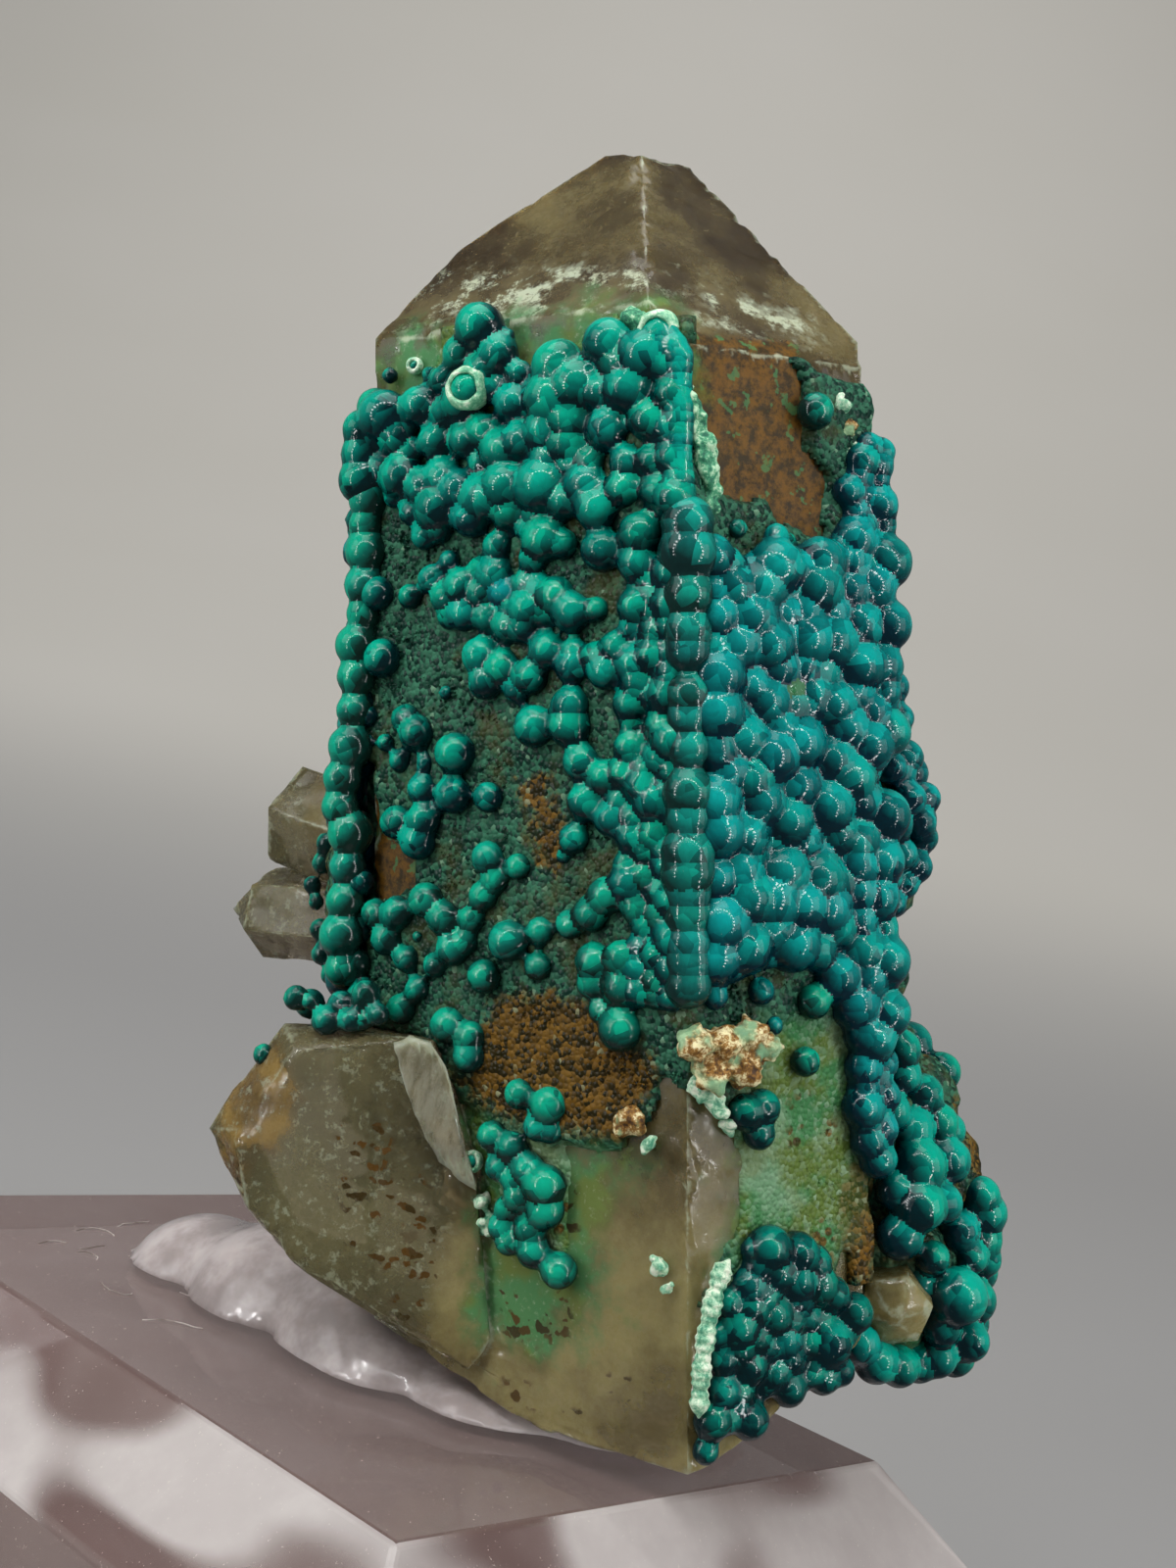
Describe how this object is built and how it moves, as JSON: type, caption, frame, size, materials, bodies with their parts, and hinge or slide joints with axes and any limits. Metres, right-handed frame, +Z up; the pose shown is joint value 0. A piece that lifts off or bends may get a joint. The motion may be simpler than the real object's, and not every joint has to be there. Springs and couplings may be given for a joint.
{
  "type": "botryoidal chrysocolla specimen",
  "caption": "Quartz crystals coated with green-blue botryoidal chrysocolla, held by clear putty on a bevelled clear acrylic display block.",
  "frame": {"origin": "centre of the acrylic block's underside, on the surface that it stands on", "axes": "+Z up, the specimen's tall front edge faces -Y, +X to the right as seen from the front"},
  "size_m": [0.0556, 0.0556, 0.0617],
  "materials": {
    "clear_acrylic": "clear polished acrylic with fine dust and hairline scratches",
    "smoky_quartz": "translucent smoky brown quartz, glassy faces with iron stain and pale green film",
    "chrysocolla": "glossy translucent green-blue balls over a dark sparkling druse",
    "limonite": "dull ochre crumb with pale mint rims",
    "clear_putty": "milky translucent tack, softly glossy"
  },
  "bodies": {
    "root": {"acrylic_base": "clear_acrylic", "quartz_crystals": "smoky_quartz", "chrysocolla_crust": "chrysocolla", "limonite_crumb": "limonite", "mounting_putty": "clear_putty"}
  },
  "joints": []
}
